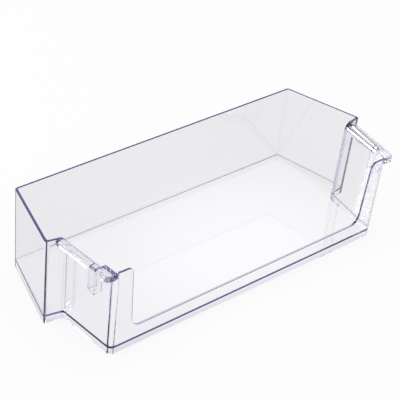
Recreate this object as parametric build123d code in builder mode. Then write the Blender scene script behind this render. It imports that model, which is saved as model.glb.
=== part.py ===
"""Clear moulded shelf for a fridge door: a deep tray with a tall front, stepped sides and hanging rims."""

import math
import os

from build123d import *

# Plan of the outside at the base. Each side spreads from the front, steps in round the door's moulding,
# and closes a little towards the back.
front_width = 354.0
side_flare = 23.0
step_in = 20.0
step_slant = 4.0
rear_taper = 7.5
front_depth = 87.5
rear_depth = 71.0

# Heights above the surface that the shelf stands on. The front's top is lower than the rim.
rim_height = 101.5
front_drop = 4.5
back_height = 25.0
floor_height = 6.5

# Thicknesses and mould draft.
wall = 2.5
floor = 2.5
draft = 0.5

# Corner radii of the plan, outside and inside, and of the seam between floor and walls.
front_radius = 2.2
step_radius = 0.8
bay_radius = 5.0
rear_radius = 8.0
inside_radius = 1.2
bay_inside_radius = 2.5
rear_inside_radius = 3.0
floor_radius = 0.6

# Rounding of the front's top edges, and of the edges round the opening in the back.
top_outer_radius = 0.95
top_inner_radius = 0.55
opening_edge_radius = 0.6

# Opening between the two ears of the back.
ear_width = 20.0
ear_lean = 3.0
ear_radius = 7.0
opening_radius = 11.0

# Hanging rim that runs out from each rear side, wraps round the back corner and runs out on the ear.
rim_reach = 10.0
rim_depth = 5.8
rim_edge_radius = 2.6
rim_end_radius = 8.0
rim_overhang = 2.0
rim_return = 6.5
rim_blend_radius = 4.0

# The inside wall curls outward over the rim, up to the flat top of the back corner.
curl_radius = 9.5
curl_length = 52.0
curl_end_radius = 3.0
curl_lap = 0.1

# Groove under the rim, which leaves a lip, and the stop that closes it near the back.
groove_inset = 2.3
groove_depth = 2.8
groove_length = 63.0
lip = 2.5
stop_start = 42.5
stop_width = 9.0
stop_inset = 0.5
stop_wall = 1.5
stop_front = 22.2
stop_back = 25.7
stop_radius = 0.8

# Everything below follows from the sizes above.
lean = math.tan(math.radians(draft))
step_width = front_width + 2 * side_flare
rear_width = step_width - 2 * step_in
back_width = rear_width - 2 * rear_taper
front_height = rim_height - front_drop
step_y = (front_depth + front_height * lean - rear_depth - rim_overhang) / 2
front_y = step_y - front_depth
back_y = step_y + rear_depth
floor_top = floor_height + floor
step_corner = Vector(step_width / 2, step_y)
bay_corner = Vector(rear_width / 2, step_y + step_slant)
back_corner = Vector(back_width / 2, back_y)

# Directions of the step and a rear side in plan. In the rim's profile plane x runs outward and y up.
step_run = (step_corner - bay_corner).normalized()
along = (back_corner - bay_corner).normalized()
outward = Vector(along.Y, -along.X)
rim_plane = Plane(origin=bay_corner, x_dir=outward, z_dir=along * -1)
fall_plane = Plane(origin=(0, step_y, rim_height), x_dir=(1, 0, 0), z_dir=(0, -front_drop, front_depth))
join_plane = Plane(origin=bay_corner + along * curl_length / 2, x_dir=(1, 0, 0), z_dir=(0, 1, 0))
rim_face = rim_height * lean
rim_edge = rim_face + rim_reach
rim_bottom = rim_height - rim_depth
curl_start = (rim_height - curl_radius) * lean - wall

half_corners = [
    (front_width / 2, front_y),
    (step_corner.X, step_corner.Y),
    (bay_corner.X, bay_corner.Y),
    (back_corner.X, back_corner.Y),
]
corners = half_corners + [(-x, y) for x, y in reversed(half_corners)]
outside_half = [front_radius, step_radius, bay_radius, rear_radius]
outside_radii = outside_half + outside_half[::-1]
inside_half = [inside_radius, inside_radius, bay_inside_radius, rear_inside_radius]
inside_radii = inside_half + inside_half[::-1]

with BuildSketch() as outline:
    with BuildLine():
        Polyline(*corners, close=True)
    make_face()

with BuildSketch() as outside:
    add(outline.sketch)
    for corner, radius in zip(corners, outside_radii):
        fillet(outside.vertices().sort_by_distance(corner)[0], radius)

# The inside follows the outside one wall in, with tighter corners.
with BuildSketch(Plane.XY.offset(floor_top)) as inside:
    add(outline.sketch)
    offset(amount=floor_top * lean - wall, kind=Kind.INTERSECTION, mode=Mode.REPLACE)
    for corner, radius in zip(corners, inside_radii):
        fillet(inside.vertices().sort_by_distance(corner)[0], radius)

# The floor is held up by a thin skirt, so the underside is a shallow pocket.
with BuildSketch() as under:
    add(outline.sketch)
    offset(amount=-wall, kind=Kind.INTERSECTION, mode=Mode.REPLACE)
    for corner, radius in zip(corners, inside_radii):
        fillet(under.vertices().sort_by_distance(corner)[0], radius)

with BuildPart() as cavity:
    add(inside.sketch)
    extrude(amount=rim_height, taper=-draft)
    fillet(cavity.faces().sort_by(Axis.Z)[0].edges(), floor_radius)

# Rims, each a bar beside the top of a rear side.
with BuildPart() as rims:
    front_out = bay_corner + step_run * (rim_edge / step_run.dot(outward)) - along * wall / 2
    end_out = front_out + along * ((back_y + rim_overhang - front_out.Y) / along.Y)
    wrap_end = Vector(back_width / 2, back_y + rim_overhang)
    ear_end = Vector(back_width / 2 - rim_return, back_y)
    inner_points = [
        Vector(ear_end.X, back_y - wall),
        back_corner - outward * wall - along * wall,
        bay_corner - outward * wall - along * wall,
    ]
    with BuildSketch(Plane.XY.offset(rim_bottom)) as rim_plan:
        with BuildLine():
            Polyline(front_out, end_out, wrap_end, ear_end, *inner_points, close=True)
        make_face()
        fillet(rim_plan.vertices().sort_by_distance(end_out)[0], rim_end_radius)
        fillet(rim_plan.vertices().sort_by_distance(wrap_end)[0], rim_blend_radius)
    extrude(amount=rim_depth)

    # Only the outer run of the top edge is rounded. The rest is buried in the walls.
    buried = [point + Vector(0, 0, rim_height) for point in inner_points]
    top_edges = rims.faces().sort_by(Axis.Z)[-1].edges()
    fillet(
        top_edges.filter_by(lambda edge: all(edge.distance_to(point) > wall / 2 for point in buried)),
        rim_edge_radius,
    )

    # Groove from the step wall to the back corner.
    with BuildSketch(rim_plane) as groove:
        with BuildLine():
            Polyline(
                (rim_face + groove_inset, rim_bottom - wall),
                (rim_edge - lip, rim_bottom - wall),
                (rim_edge - lip, rim_bottom + groove_depth),
                (rim_face + groove_inset, rim_bottom + groove_depth),
                close=True,
            )
        make_face()
        fillet(groove.vertices().group_by(Axis.Y)[-1], groove_depth / 3)
    extrude(amount=-groove_length, mode=Mode.SUBTRACT)

    # Stop across the groove, with a slanting foot.
    with BuildSketch(Plane(origin=bay_corner - outward * wall / 2, x_dir=along, z_dir=outward)) as stop:
        with BuildLine():
            Polyline(
                (stop_start, rim_bottom - stop_front),
                (stop_start + stop_width, rim_bottom - stop_back),
                (stop_start + stop_width, rim_bottom + rim_depth / 2),
                (stop_start, rim_bottom + rim_depth / 2),
                close=True,
            )
        make_face()
        fillet(stop.vertices().sort_by(Axis.Y)[:2], stop_radius)
    extrude(amount=wall / 2 + rim_edge - stop_inset)

    # The stop is hollow from below, up to the top of the groove, so that its walls stay thin.
    with BuildSketch(rim_plane.offset(-stop_start - stop_wall)):
        with BuildLine():
            Polyline(
                (-wall / 2, rim_bottom - stop_back - wall),
                (rim_edge - lip, rim_bottom - stop_back - wall),
                (rim_edge - lip, rim_bottom + groove_depth),
                (rim_face + groove_inset, rim_bottom + groove_depth),
                (rim_face + groove_inset, rim_bottom),
                (-wall / 2, rim_bottom),
                close=True,
            )
        make_face()
    extrude(amount=2 * stop_wall - stop_width, mode=Mode.SUBTRACT)
    mirror(about=Plane.YZ)

    # The bars reach into the walls, but not through them.
    add(cavity.part, mode=Mode.SUBTRACT)

# Space above the curl of each rim, from in front of the step wall. It laps the wall and the rim's top.
with BuildPart() as curls:
    curl_front = step_slant + 2 * wall
    curl_low = (curl_start - curl_lap, rim_height - curl_radius + curl_lap)
    curl_high = (curl_low[0] + curl_radius, curl_low[1] + curl_radius)
    with BuildSketch(rim_plane.offset(curl_front)):
        with BuildLine():
            RadiusArc(curl_low, curl_high, curl_radius)
            Polyline(
                curl_high,
                (curl_high[0], rim_height + wall),
                (curl_low[0] - wall, rim_height + wall),
                (curl_low[0] - wall, curl_low[1]),
                curl_low,
            )
        make_face()
    extrude(amount=-curl_front - curl_length)
    curl_end = bay_corner + along * curl_length + outward * curl_low[0] + Vector(0, 0, curl_high[1])
    fillet(curls.edges().filter_by(GeomType.CIRCLE).sort_by_distance(curl_end)[0], curl_end_radius)
    mirror(about=Plane.YZ)

# Walls and floor, taller than the shelf, and the space above the rims.
with BuildPart() as tray:
    add(outside.sketch)
    extrude(amount=rim_height + floor_top, taper=-draft)
    add(cavity.part, mode=Mode.SUBTRACT)

with BuildPart() as above:
    with BuildSketch(Plane.XY.offset(rim_height)):
        Rectangle(2 * step_width, 4 * front_depth)
    extrude(amount=rim_height)

# Front part, whose top falls from the step to the front wall and has rounded edges.
with BuildPart() as front_part:
    add(tray.part)
    with BuildSketch(fall_plane):
        Rectangle(2 * step_width, 4 * front_depth)
    extrude(amount=rim_height, mode=Mode.SUBTRACT)
    fillet(front_part.faces().filter_by(fall_plane)[0].outer_wire().edges(), top_outer_radius)
    fillet(front_part.faces().filter_by(fall_plane)[0].inner_wires()[0].edges(), top_inner_radius)
    add(above.part, mode=Mode.SUBTRACT)
    split(bisect_by=join_plane, keep=Keep.BOTTOM)

# Back part, cut down between two ears, whose edges lean and whose tops are rounded.
with BuildPart() as back_part:
    add(tray.part)
    add(above.part, mode=Mode.SUBTRACT)
    with BuildSketch(Plane(origin=(0, back_y + rear_radius, 0), x_dir=(1, 0, 0), z_dir=(0, -1, 0))) as opening:
        ear_slope = math.tan(math.radians(ear_lean))
        half_top = back_width / 2 - ear_width
        half_low = half_top - (rim_height - back_height) * ear_slope
        half_lip = half_top + 2 * ear_radius
        with BuildLine():
            Polyline(
                (-half_low, back_height),
                (half_low, back_height),
                (half_top, rim_height),
                (half_lip, rim_height),
                (half_lip, rim_height + wall),
                (-half_lip, rim_height + wall),
                (-half_lip, rim_height),
                (-half_top, rim_height),
                close=True,
            )
        make_face()
        fillet(opening.vertices().group_by(Axis.Y)[0], opening_radius)
        for side in (-1, 1):
            fillet(opening.vertices().sort_by_distance((side * half_top, rim_height))[0], ear_radius)
    extrude(amount=3 * rear_radius, mode=Mode.SUBTRACT)

    # One edge outside and one inside lead on round the whole opening.
    sill_outside = Vector(0, back_y + back_height * lean, back_height)
    sill_points = (sill_outside, sill_outside - Vector(0, wall))
    fillet([back_part.edges().sort_by_distance(point)[0] for point in sill_points], opening_edge_radius)
    split(bisect_by=join_plane, keep=Keep.TOP)

with BuildPart() as door_shelf:
    add(front_part.part)
    add(back_part.part)
    add(rims.part)
    add(under.sketch)
    extrude(amount=floor_height, mode=Mode.SUBTRACT)
    add(curls.part, mode=Mode.SUBTRACT)

door_shelf.part.label = "door_shelf"
os.makedirs("parts", exist_ok=True)
export_step(door_shelf.part, "parts/door_shelf.step")
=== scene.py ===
import math

import bmesh
import bpy
from mathutils import Matrix, Vector

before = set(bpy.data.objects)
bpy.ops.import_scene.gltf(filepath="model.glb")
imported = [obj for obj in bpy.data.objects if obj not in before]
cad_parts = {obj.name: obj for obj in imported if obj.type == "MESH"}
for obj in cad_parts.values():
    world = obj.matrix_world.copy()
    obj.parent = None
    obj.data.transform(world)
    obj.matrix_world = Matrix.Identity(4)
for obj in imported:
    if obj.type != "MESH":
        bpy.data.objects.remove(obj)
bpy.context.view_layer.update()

# Door shelf: one moulding of clear polystyrene, polished in the mould, which hangs in a fridge door.
# Its walls are nearly colourless, and long ways through the plastic, as along a cut edge, turn navy.
# The polish varies a little, and the flow of the plastic leaves the faces very slightly wavy.
plastic_white = (1.0, 1.0, 1.0, 1.0)
plastic_index = 1.59
plastic_absorption = (0.6, 0.6, 0.79, 1.0)
plastic_density = 40.0
shadow_tint = (0.86, 0.87, 0.9, 1.0)
polish_scale = 18.0
polish_detail = 3.0
polish_spread = (0.35, 0.75)
polish_roughness = (0.0, 0.04)
flow_scale = 9.0
flow_detail = 1.0
flow_strength = 1.0
flow_height = 0.00004


def add_node(tree, kind, inputs, **settings):
    """Adds a node, and fills its inputs with plain values or with the outputs of other nodes."""
    node = tree.nodes.new(kind)
    for name, setting in settings.items():
        setattr(node, name, setting)
    for key, value in inputs.items():
        if isinstance(value, bpy.types.NodeSocket):
            tree.links.new(value, node.inputs[key])
        else:
            node.inputs[key].default_value = value
    return node


def fade(tree, value, span, levels, curve="SMOOTHSTEP"):
    """Goes from the first of two levels to the second while a value crosses a span."""
    return add_node(tree, "ShaderNodeMapRange", {
        "Value": value,
        "From Min": span[0],
        "From Max": span[1],
        "To Min": levels[0],
        "To Max": levels[1],
    }, interpolation_type=curve).outputs["Result"]


def mixed(tree, share, first, second):
    """Mixes two finishes, by the share of the second one."""
    mix = add_node(tree, "ShaderNodeMixShader", {"Fac": share, 1: first, 2: second})
    return mix.outputs["Shader"]


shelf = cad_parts["door_shelf"]
clear_plastic = bpy.data.materials.new("clear_polystyrene")
clear_plastic.use_nodes = True
tree = clear_plastic.node_tree
tree.nodes.clear()
place = tree.nodes.new("ShaderNodeTexCoord").outputs["Object"]
polish = add_node(tree, "ShaderNodeTexNoise", {
    "Vector": place,
    "Scale": polish_scale,
    "Detail": polish_detail,
})
flow = add_node(tree, "ShaderNodeTexNoise", {
    "Vector": place,
    "Scale": flow_scale,
    "Detail": flow_detail,
})
flow_bump = add_node(tree, "ShaderNodeBump", {
    "Strength": flow_strength,
    "Distance": flow_height,
    "Height": flow.outputs["Fac"],
})
body = add_node(tree, "ShaderNodeBsdfPrincipled", {
    "Base Color": plastic_white,
    "Transmission Weight": 1.0,
    "IOR": plastic_index,
    "Roughness": fade(tree, polish.outputs["Fac"], polish_spread, polish_roughness, "LINEAR"),
    "Normal": flow_bump.outputs["Normal"],
})

# Lamps shine through the walls, so that the shelf throws the pale shadow of a clear thing.
lamp_rays = tree.nodes.new("ShaderNodeLightPath").outputs["Is Shadow Ray"]
lamp_way = add_node(tree, "ShaderNodeBsdfTransparent", {"Color": shadow_tint})
depth = add_node(tree, "ShaderNodeVolumeAbsorption", {
    "Color": plastic_absorption,
    "Density": plastic_density,
})
add_node(tree, "ShaderNodeOutputMaterial", {
    "Surface": mixed(tree, lamp_rays, body.outputs["BSDF"], lamp_way.outputs["BSDF"]),
    "Volume": depth.outputs["Volume"],
})
shelf.data.materials.clear()
shelf.data.materials.append(clear_plastic)

# Table: a plain white sheet under the shelf. The camera sees it as white with the shelf's pale shadow.
# Through the plastic it shows painted light, a pool brightest below the middle of the floor, where the
# soft box would pool its light, and a painted bluish shade on the strip behind the skirt, along the
# shelf's near sides.
table_half = 3.0
table_gap = 0.0003
table_white = (0.95, 0.95, 0.95, 1.0)
glow_share = 0.9
glow_level = 1.0
floor_middle = (0.0, -0.008, 0.0)
floor_reach = (0.18, 0.077, 1.0)
floor_fade = (0.97, 1.05)
floor_levels = (1.0, 0.935)
pool_middle = (-0.04, 0.015, 0.0)
pool_reach = (0.2, 0.15, 1.0)
pool_fade = (0.2, 1.0)
pool_levels = (1.02, 0.925)
skirt_corners = ((0.177, -0.0798), (0.2, 0.0077), (0.18, 0.0117), (0.1725, 0.0787), (-0.1725, 0.0787))
painted_skirt_shade = (0.85, 0.86, 0.94, 1.0)
unshaded_white = (1.0, 1.0, 1.0, 1.0)
shade_middle = -0.002
shade_fade = (0.004, 0.006)
shade_ends = (-0.172, -0.074, 0.0)


def worked_out(tree, operation, *values):
    """Works out one number from others, such as the larger of two."""
    inputs = dict(enumerate(values))
    return add_node(tree, "ShaderNodeMath", inputs, operation=operation).outputs["Value"]


def place_worked_out(tree, operation, result, *values):
    """Works out a Value or a Vector from places or directions, such as the distance between two."""
    inputs = dict(enumerate(values))
    return add_node(tree, "ShaderNodeVectorMath", inputs, operation=operation).outputs[result]


def measured_from(tree, spot, middle, reach):
    """Gives a spot's place about a middle, in shares of the reach along each axis."""
    return add_node(tree, "ShaderNodeMapping", {
        "Vector": spot,
        "Location": middle,
        "Scale": reach,
    }, vector_type="TEXTURE").outputs["Vector"]


scene = bpy.context.scene
table_mesh = bpy.data.meshes.new("table")
table_shape = bmesh.new()
bmesh.ops.create_grid(table_shape, x_segments=1, y_segments=1, size=table_half)
bmesh.ops.translate(table_shape, vec=(0.0, 0.0, -table_gap), verts=table_shape.verts)
table_shape.to_mesh(table_mesh)
table_shape.free()
table = bpy.data.objects.new("table", table_mesh)
scene.collection.objects.link(table)

table_finish = bpy.data.materials.new("white_table")
table_finish.use_nodes = True
tree = table_finish.node_tree
tree.nodes.clear()
spot = tree.nodes.new("ShaderNodeTexCoord").outputs["Object"]

# Painted light: even below the shelf's floor, falling off at its edges, and pooling near its middle.
floor_place = measured_from(tree, spot, floor_middle, floor_reach)
floor_axes = add_node(tree, "ShaderNodeSeparateXYZ", {"Vector": floor_place}).outputs
floor_sides = [worked_out(tree, "ABSOLUTE", floor_axes[axis]) for axis in ("X", "Y")]
painted_floor_light = fade(tree, worked_out(tree, "MAXIMUM", *floor_sides), floor_fade, floor_levels)
pool_place = measured_from(tree, spot, pool_middle, pool_reach)
pool_distance = place_worked_out(tree, "LENGTH", "Value", pool_place)
painted_pool_light = fade(tree, pool_distance, pool_fade, pool_levels)
painted_table_light = worked_out(tree, "MULTIPLY", painted_pool_light, painted_floor_light)

# The skirt's near sides run from the front out to the step, in along it, and by the rear side to the
# back. Each pair of them bounds one half of the shelf, and a spot is as far out as from the nearer half.
beyond = []
for start, end in zip(skirt_corners, skirt_corners[1:]):
    run = Vector(end) - Vector(start)
    outward = Vector((run.y, -run.x, 0.0)).normalized()
    side_place = outward.dot((*start, 0.0)) + shade_middle
    spot_place = place_worked_out(tree, "DOT_PRODUCT", "Value", spot, outward)
    beyond.append(worked_out(tree, "SUBTRACT", spot_place, side_place))
front_half = worked_out(tree, "MAXIMUM", *beyond[:2])
rear_half = worked_out(tree, "MAXIMUM", *beyond[2:])
shade_distance = worked_out(tree, "ABSOLUTE", worked_out(tree, "MINIMUM", front_half, rear_half))

# The painted shade ends at the shelf's far corners, and it is seen only through the plastic.
past_ends = place_worked_out(tree, "SUBTRACT", "Vector", shade_ends, spot)
past_ends = place_worked_out(tree, "MAXIMUM", "Vector", past_ends, (0.0, 0.0, 0.0))
end_distance = place_worked_out(tree, "LENGTH", "Value", past_ends)
strip_distance = worked_out(tree, "ADD", shade_distance, end_distance)
unshaded = fade(tree, strip_distance, shade_fade, (0.0, 1.0))
rays = tree.nodes.new("ShaderNodeLightPath").outputs
not_through = worked_out(tree, "SUBTRACT", 1.0, rays["Is Transmission Ray"])
# Painted shade: a bluish tint on the table strip behind the skirt, seen only through the plastic.
painted_table_shade = add_node(tree, "ShaderNodeMix", {
    "Factor": worked_out(tree, "MAXIMUM", unshaded, not_through),
    "A": painted_skirt_shade,
    "B": unshaded_white,
}, data_type="RGBA")

paper = add_node(tree, "ShaderNodeBsdfDiffuse", {"Color": table_white}).outputs["BSDF"]
glow = add_node(tree, "ShaderNodeEmission", {"Strength": glow_level}).outputs["Emission"]
# The table glows with the painted light and the painted shade, for rays that come through or off the
# plastic.
painted_glow = add_node(tree, "ShaderNodeEmission", {
    "Color": painted_table_shade.outputs["Result"],
    "Strength": painted_table_light,
}).outputs["Emission"]
in_plastic = worked_out(tree, "MAXIMUM", rays["Is Transmission Ray"], rays["Is Glossy Ray"])
for_other_rays = mixed(tree, in_plastic, paper, painted_glow)
for_camera = mixed(tree, glow_share, paper, glow)
add_node(tree, "ShaderNodeOutputMaterial", {
    "Surface": mixed(tree, rays["Is Camera Ray"], for_other_rays, for_camera),
})
table_mesh.materials.append(table_finish)

# Studio: a pale room, dimmer towards the ground, with a window and below it a long dark card, both
# beyond the tall front. The front's flat top edge mirrors the card and draws a dark line, and the floor
# and the rims mirror the window.
room_rise = (0.0, 0.9)
room_levels = (0.35, 0.8)
window_way = (-0.54, -0.585, 0.603)
window_fade = (0.8, 0.95)
window_levels = (1.0, 1.8)
card_tilt = math.radians(44.2)
card_middle = 0.09
card_fade = (0.05, 0.075)
card_levels = (0.1, 1.0)

room = bpy.data.worlds.new("studio_room")
room.use_nodes = True
tree = room.node_tree
tree.nodes.clear()
direction = tree.nodes.new("ShaderNodeTexCoord").outputs["Generated"]
rise = add_node(tree, "ShaderNodeSeparateXYZ", {"Vector": direction}).outputs["Z"]
wall_light = fade(tree, rise, room_rise, room_levels, "LINEAR")
card_way = (0.0, -math.sin(card_tilt), -math.cos(card_tilt))
card_place = place_worked_out(tree, "DOT_PRODUCT", "Value", direction, card_way)
card_distance = worked_out(tree, "ABSOLUTE", worked_out(tree, "SUBTRACT", card_place, card_middle))
card = fade(tree, card_distance, card_fade, card_levels)
window_place = place_worked_out(tree, "DOT_PRODUCT", "Value", direction, window_way)
window = fade(tree, window_place, window_fade, window_levels)
beyond_front = worked_out(tree, "MULTIPLY", window, card)
room_light = add_node(tree, "ShaderNodeBackground", {
    "Strength": worked_out(tree, "MULTIPLY", wall_light, beyond_front),
})
add_node(tree, "ShaderNodeOutputWorld", {"Surface": room_light.outputs["Background"]})
scene.world = room

# Soft boxes: square lamps behind white cloth, on stands. A large one hangs overhead, and a small bright
# one stands off the front corner at the +X end, where it lights the curls of the rims.
lamp_aim = Vector((0.0, 0.0, 0.05))
soft_boxes = (
    ("soft_box", Vector((0.2, -0.2, 1.6)), 1.1, 7.0),
    ("side_box", Vector((0.96, -0.94, 0.92)), 0.5, 6.0),
)

for name, stand, width, power in soft_boxes:
    lamp_data = bpy.data.lights.new(name, "AREA")
    lamp_data.size = width
    lamp_data.energy = power
    lamp = bpy.data.objects.new(name, lamp_data)
    turn = (lamp_aim - stand).to_track_quat("-Z", "Y")
    lamp.matrix_world = Matrix.Translation(stand) @ turn.to_matrix().to_4x4()
    scene.collection.objects.link(lamp)

# Camera: stands at the low back of the shelf, above the rear corner at the +X end, and leans a little.
# The focal length of its lens is measured in the picture's pixels, along its width.
camera_turn = math.radians(137.101)
camera_rise = math.radians(37.085)
camera_roll = math.radians(7.006)
camera_distance = 1.3218
camera_slide = (-0.009704, 0.016564)
camera_aim = Vector((0.0, 0.007673, 0.048))
picture_pixels = 400
focal_pixels = 1295.6

back = Vector((
    math.sin(camera_turn) * math.cos(camera_rise),
    -math.cos(camera_turn) * math.cos(camera_rise),
    math.sin(camera_rise),
))
level = Vector((math.cos(camera_turn), math.sin(camera_turn), 0.0))
upright = back.cross(level)
right = level * math.cos(camera_roll) + upright * math.sin(camera_roll)
up = upright * math.cos(camera_roll) - level * math.sin(camera_roll)
eye = camera_aim + back * camera_distance + right * camera_slide[0] + up * camera_slide[1]
camera_data = bpy.data.cameras.new("camera")
camera_data.lens = camera_data.sensor_width * focal_pixels / picture_pixels
camera = bpy.data.objects.new("camera", camera_data)
camera.matrix_world = Matrix.Translation(eye) @ Matrix((right, up, back)).transposed().to_4x4()
scene.collection.objects.link(camera)
scene.camera = camera

# Picture: colours show as they are written. Light bounces often enough to pass through wall behind wall,
# and there are no caustics, because the shelf's shadow has the tint of the light that comes through.
bounces = 64
shadow_bounces = 32

scene.view_settings.view_transform = "Standard"
scene.cycles.max_bounces = bounces
scene.cycles.transmission_bounces = bounces
scene.cycles.glossy_bounces = bounces
scene.cycles.transparent_max_bounces = shadow_bounces
scene.cycles.caustics_reflective = False
scene.cycles.caustics_refractive = False
